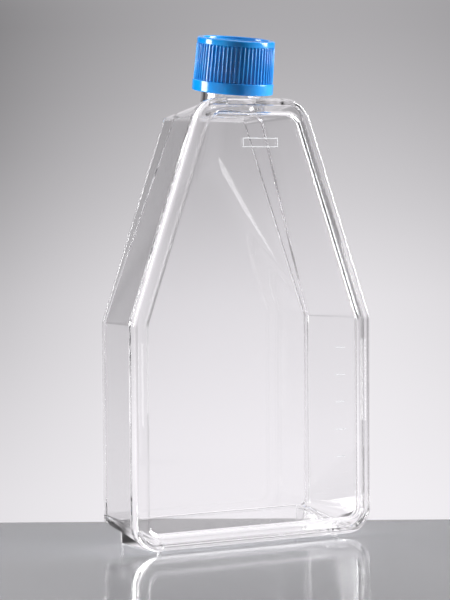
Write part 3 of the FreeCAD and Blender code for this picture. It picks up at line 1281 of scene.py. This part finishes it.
@dataclass
class Thread:
    """A right-handed screw thread ridge, run along a helix about the neck axis."""

    axis: NeckAxis
    name: str
    radius: float
    start: float
    turns: float
    ridge: float
    lead: float = 5.5
    turn_steps: int = 48
    ridge_steps: int = 8
    taper: float = 9.0
    taper_power: float = 0.6
    least_ridge: float = 0.15
    sharp: float = 60.0

    def build(self, finish: bpy.types.Material) -> bpy.types.Object:
        """Make the ridge.

        Args:
            finish: its material.

        Returns:
            The piece.
        """
        piece = make_object(self.name, [], [])
        nodes, given = geometry_tree(self.name, {
            "Radius": "Float", "Turns": "Float", "Lead": "Float", "Ridge": "Float", "Turn": "Vector",
            "Place": "Vector"})
        height = nodes.math("MULTIPLY", given.outputs["Turns"], given.outputs["Lead"])
        helix = nodes.add("GeometryNodeCurveSpiral", {
            "Resolution": self.turn_steps, "Rotations": given.outputs["Turns"],
            "Start Radius": given.outputs["Radius"], "End Radius": given.outputs["Radius"],
            "Height": height, "Reverse": True})
        along = nodes.add("GeometryNodeSplineParameter").outputs["Factor"]
        near = nodes.math("MINIMUM", along, nodes.math("SUBTRACT", 1.0, along))
        swell = nodes.math("POWER", nodes.math("MULTIPLY", near, self.taper, clamp=True),
                           self.taper_power)
        shaped = nodes.add("GeometryNodeSetCurveRadius", {
            "Curve": helix.outputs[0], "Radius": nodes.math("MAXIMUM", swell, self.least_ridge)})
        section = nodes.add("GeometryNodeCurvePrimitiveCircle", {
            "Resolution": self.ridge_steps, "Radius": given.outputs["Ridge"]})
        solid = nodes.add("GeometryNodeCurveToMesh", {
            "Curve": shaped.outputs[0], "Profile Curve": section.outputs[0], "Fill Caps": True,
            "Scale": nodes.add("GeometryNodeInputRadius").outputs[0]})
        self.axis.stand(nodes, solid.outputs[0], given)
        run_tree(piece, nodes.tree, {
            "Radius": self.radius * MM, "Turns": self.turns, "Lead": self.lead * MM,
            "Ridge": self.ridge * MM, "Finish": finish, **self.axis.inputs(self.start)})
        smooth(piece, self.sharp, weighted=False)
        return piece


@dataclass
class SealingDisc:
    """The soft disc under the cap's top, with a raised land that meets the neck."""

    axis: NeckAxis
    radius: float = 15.2
    start: float = 19.85
    thickness: float = 0.95
    land: float = 12.0
    land_slope: float = 0.4
    land_rise: float = 0.1
    edge: float = 0.25
    steps: int = 96
    sharp: float = 40.0

    def build(self, finish: bpy.types.Material) -> bpy.types.Object:
        """Make the disc.

        Args:
            finish: the soft foam.

        Returns:
            The piece.
        """
        end = self.start + self.thickness
        low = self.start + self.land_rise
        section = rounded_path([
            (0.0, self.start, 0.0), (self.land - self.land_slope, self.start, 0.1),
            (self.land, low, 0.1), (self.radius, low, self.edge), (self.radius, end, self.edge),
            (0.0, end, 0.0)], steps=3)
        piece = lathe("sealing_disc", section, self.steps, self.axis.matrix(), finish)
        smooth(piece, self.sharp)
        return piece


@dataclass
class Printing:
    """Faint white print on the front plate: a bare frame and the level marks."""

    clearance: float = 0.005
    thickness: float = 0.02
    frame_low: Flat = (-5.2, 176.8)
    frame_high: Flat = (13.1, 181.0)
    line: float = 0.45
    mark_start: Flat = (43.6, 36.9)
    mark_size: Flat = (4.8, 0.45)
    mark_pitch: float = 12.4
    mark_count: int = 5

    def skins(self) -> Flat:
        """Depths of the print's front and of its back."""
        back = WELD - PLATE - self.clearance
        return back - self.thickness, back

    def frame(self, finish: bpy.types.Material) -> bpy.types.Object:
        """Make the bare frame.

        Args:
            finish: the ink.

        Returns:
            The piece.
        """
        (x0, z0), (x1, z1) = self.frame_low, self.frame_high
        points = [(x, y, z) for y in self.skins() for edge in (0.0, self.line)
                  for x, z in ((x0 + edge, z0 + edge), (x1 - edge, z0 + edge), (x1 - edge, z1 - edge),
                               (x0 + edge, z1 - edge))]
        faces = []
        for step in range(4):
            after = (step + 1) % 4
            faces.append((step, after, 4 + after, 4 + step))
            faces.append((8 + step, 12 + step, 12 + after, 8 + after))
            faces.append((step, 8 + step, 8 + after, after))
            faces.append((4 + step, 4 + after, 12 + after, 12 + step))
        return make_object("print_frame", points, faces, finish)

    def marks(self, finish: bpy.types.Material) -> bpy.types.Object:
        """Make the level marks, repeated up the plate.

        Args:
            finish: the ink.

        Returns:
            The piece.
        """
        x, z = self.mark_start
        width, height = self.mark_size
        low, high = z - height / 2, z + height / 2
        piece = prism("print_marks", *([(x, y, low), (x + width, y, low), (x + width, y, high),
                                        (x, y, high)] for y in self.skins()))
        nodes, given = geometry_tree("level marks", {"Count": "Int", "Pitch": "Float"})
        step = nodes.add("ShaderNodeCombineXYZ", {"Z": given.outputs["Pitch"]})
        line = nodes.add("GeometryNodeMeshLine", {
            "Count": given.outputs["Count"], "Offset": step.outputs[0]}, mode="OFFSET")
        copies = nodes.add("GeometryNodeInstanceOnPoints", {
            "Points": line.outputs[0], "Instance": given.outputs["Geometry"]})
        close_tree(nodes, copies.outputs[0], given)
        run_tree(piece, nodes.tree, {
            "Count": self.mark_count, "Pitch": self.mark_pitch * MM, "Finish": finish})
        return piece


# ---------------------------------------------------------------- the studio


@dataclass(frozen=True)
class SoftBox:
    """A rectangular lamp that faces the flask; metres and watts."""

    name: str
    heading: float  # from the flask, clockwise from the camera's forward direction
    distance: float
    height: float
    size: Flat
    power: float

    def hang(self, forward: float, target: Vector) -> None:
        """Add the lamp.

        Args:
            forward: the camera's heading.
            target: the point that the lamp faces.
        """
        data = bpy.data.lights.new(self.name, "AREA")
        data.shape = "RECTANGLE"
        data.size, data.size_y = self.size
        data.energy = self.power
        lamp = bpy.data.objects.new(self.name, data)
        angle = math.radians(forward + self.heading)
        lamp.location = (self.distance * math.sin(angle), self.distance * math.cos(angle), self.height)
        lamp.rotation_euler = (target - lamp.location).to_track_quat("-Z", "Y").to_euler()
        bpy.context.scene.collection.objects.link(lamp)


@dataclass
class Studio:
    """Bench, backdrop, lamps and camera; places in metres."""

    view_heading: float = 31.3445
    eye: Point = (-0.538116, -0.878436, 0.150093)
    eye_turn: Point = (87.6955, 0.42152, -31.3445)
    sensor: float = 24.0
    lens: float = 91.6216
    clip: Flat = (0.01, 50.0)
    edge_behind: float = 1.0952
    bench_length: float = 3.0
    bench_half: float = 0.3
    bench_thickness: float = 0.03
    bench_edge: float = 0.0015
    glow_side: float = 0.0327
    glow_falloff: float = 60.0
    grades: tuple[Flat, ...] = (
        (-0.3, 0.93), (-0.1275, 0.89), (-0.084, 0.85), (-0.04, 0.79), (-0.018, 0.715), (0.0035, 0.63),
        (0.025, 0.56), (0.047, 0.491), (0.065, 0.445), (0.082, 0.41), (0.2, 0.4), (0.3, 1.0))
    far_grades: tuple[Flat, ...] = (
        (-0.3, 0.88), (-0.1275, 0.776), (-0.106, 0.73), (-0.084, 0.68), (-0.062, 0.617), (-0.04, 0.558),
        (-0.018, 0.479), (0.0035, 0.407), (0.025, 0.342), (0.047, 0.296), (0.082, 0.246), (0.3, 0.8))
    room_grades: tuple[Flat, ...] = (
        (-0.9, 0.5), (-0.5, 0.6), (-0.3, 1.0), (-0.1, 1.0), (-0.05, 0.74), (-0.014, 0.42),
        (0.03, 0.08), (0.3, 0.15), (0.6, 1.0))
    dim_headings: tuple[Flat, ...] = ((-60.0, 0.4), (152.0, 0.3), (180.0, 0.3))
    dim_span: Flat = (0.85, 0.97)
    backdrop_span: Flat = (0.8, 0.92)
    fill_light: Colour = (0.06, 0.06, 0.062)
    glow_light: Colour = (0.7, 0.69, 0.71)
    lamp_target: Point = (0.0, 0.0, 0.11)
    lamps: tuple[SoftBox, ...] = (
        SoftBox("soft box left", -93.0, 1.2, 0.5, (0.5, 0.85), 27.0),
        SoftBox("soft box right", 85.0, 1.2, 0.5, (0.5, 0.85), 36.0),
        SoftBox("strip right", 138.0, 0.55, 0.032, (0.19, 0.056), 0.09),
        SoftBox("soft box above", 75.0, 0.6, 1.3, (1.0, 1.0), 4.0))
    clear_bounces: int = 128
    mirror_bounces: int = 64
    shadow_bounces: int = 16

    def camera(self) -> None:
        """Add the camera."""
        data = bpy.data.cameras.new("camera")
        data.sensor_fit = "VERTICAL"
        data.sensor_height = self.sensor
        data.lens = self.lens
        data.clip_start, data.clip_end = self.clip
        camera = bpy.data.objects.new("camera", data)
        camera.location = self.eye
        camera.rotation_euler = [math.radians(angle) for angle in self.eye_turn]
        bpy.context.scene.collection.objects.link(camera)
        bpy.context.scene.camera = camera

    def bench(self) -> None:
        """Add the bench top, whose far edge lies just behind the flask."""
        heading = math.radians(self.view_heading)
        ahead = Vector((math.sin(heading), math.cos(heading), 0.0))
        across = Vector((math.cos(heading), -math.sin(heading), 0.0)) * self.bench_half
        far = Vector((self.eye[0], self.eye[1], 0.0)) + ahead * self.edge_behind
        near = far - ahead * self.bench_length
        corners = (near - across, near + across, far + across, far - across)
        loops = [[(point.x / MM, point.y / MM, z / MM) for point in corners]
                 for z in (0.0, -self.bench_thickness)]
        bench = prism("bench", *loops, TableTop().material())
        bevel(bench, self.bench_edge)

    def world(self) -> None:
        """Add the backdrop and the room beside it, which only rays to be seen pick up."""
        world = bpy.data.worlds.new("studio")
        bpy.context.scene.world = world
        world.use_nodes = True
        nodes = Nodes(world.node_tree)
        nodes.tree.nodes.clear()
        direction = nodes.add("ShaderNodeTexCoord").outputs["Generated"]
        heading = math.radians(self.view_heading)

        def along(angle: float) -> bpy.types.NodeSocket:
            """How far the direction points toward a heading, in radians from the camera's."""
            axis = (math.sin(heading + angle), math.cos(heading + angle), 0.0)
            return nodes.add("ShaderNodeVectorMath", {0: direction, 1: axis},
                             operation="DOT_PRODUCT").outputs["Value"]

        rise = nodes.add("ShaderNodeSeparateXYZ", {0: direction}).outputs["Z"]
        off = nodes.math("SUBTRACT", along(math.pi / 2), self.glow_side)
        far = nodes.math("MULTIPLY", nodes.math("MULTIPLY", off, off), self.glow_falloff, clamp=True)
        backdrop = nodes.mixed(far, nodes.level(rise, self.grades), nodes.level(rise, self.far_grades))
        room = nodes.level(rise, self.room_grades)
        for angle, share in self.dim_headings:
            dim = nodes.remap(along(math.radians(angle)), self.dim_span, (1.0, share))
            room = nodes.add("ShaderNodeVectorMath", {0: room, 1: dim}, operation="MULTIPLY").outputs[0]
        ahead = along(0.0)
        shade = nodes.mixed(nodes.remap(ahead, self.backdrop_span), room, backdrop)
        path = nodes.add("ShaderNodeLightPath").outputs
        seen = nodes.math("MAXIMUM", path["Is Camera Ray"], nodes.math(
            "MAXIMUM", path["Is Glossy Ray"], path["Is Transmission Ray"]))
        lit = nodes.mixed(nodes.math("MAXIMUM", ahead, 0.0), rgba(self.fill_light),
                          rgba(self.glow_light))
        light = nodes.add("ShaderNodeBackground", {"Color": lit, "Strength": 1.0})
        shown = nodes.add("ShaderNodeBackground", {"Color": shade, "Strength": 1.0})
        both = nodes.add("ShaderNodeMixShader", {0: seen, 1: light.outputs[0], 2: shown.outputs[0]})
        nodes.add("ShaderNodeOutputWorld", {"Surface": both.outputs[0]})

    def build(self) -> None:
        """Set up everything around the flask."""
        scene = bpy.context.scene
        scene.view_settings.view_transform = "Standard"
        scene.cycles.max_bounces = self.clear_bounces
        scene.cycles.transmission_bounces = self.clear_bounces
        scene.cycles.glossy_bounces = self.mirror_bounces
        scene.cycles.transparent_max_bounces = self.shadow_bounces
        self.camera()
        self.bench()
        self.world()
        for box in self.lamps:
            box.hang(self.view_heading, Vector(self.lamp_target))


# ---------------------------------------------------------------- putting it together


def settle(piece: bpy.types.Object, body: Body) -> None:
    """Ride a piece on its body and report it.

    Args:
        piece: the finished piece.
        body: the body that it moves with.
    """
    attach(piece, body.value)
    LOG.info("%s: %d faces on %s", piece.name, len(piece.data.polygons), body.value)


def main() -> None:
    """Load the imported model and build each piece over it."""
    logging.basicConfig(level=logging.INFO, format="%(message)s")
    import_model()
    clear = ClearPlastic().material()
    blue = CapPlastic().material()
    pale = SEAL_FOAM.material()
    ink = WHITE_PRINT.material()
    rim = Outline()
    walls = Outline(radii={Corner.LOW: 9.0, Corner.SHOULDER: 8.0, Corner.TOP: 8.0})
    axis = NeckAxis()

    tub = Tub(rim, walls, axis, BackWall()).build(clear)
    settle(tub, Body.FLASK)
    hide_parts("flask_body")
    plate = FrontPlate(rim).build(clear)
    settle(plate, Body.FLASK)
    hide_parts("top_plate")
    cap = ScrewCap(axis)
    wall = cap.wall(blue)
    settle(wall, Body.CAP)
    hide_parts("screw_cap")
    settle(cap.ribs(blue), Body.CAP)
    disc = SealingDisc(axis).build(pale)
    settle(disc, Body.SEAL)
    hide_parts("cap_liner")
    neck_thread = Thread(axis, "neck_thread", radius=14.05, start=7.0, turns=1.5, ridge=0.8)
    settle(neck_thread.build(clear), Body.FLASK)
    cap_thread = Thread(axis, "cap_thread", radius=15.55, start=4.2, turns=2.0, ridge=0.7)
    settle(cap_thread.build(blue), Body.CAP)
    printing = Printing()
    settle(printing.frame(ink), Body.FLASK)
    settle(printing.marks(ink), Body.FLASK)
    Studio().build()


if __name__ == "__main__":
    main()
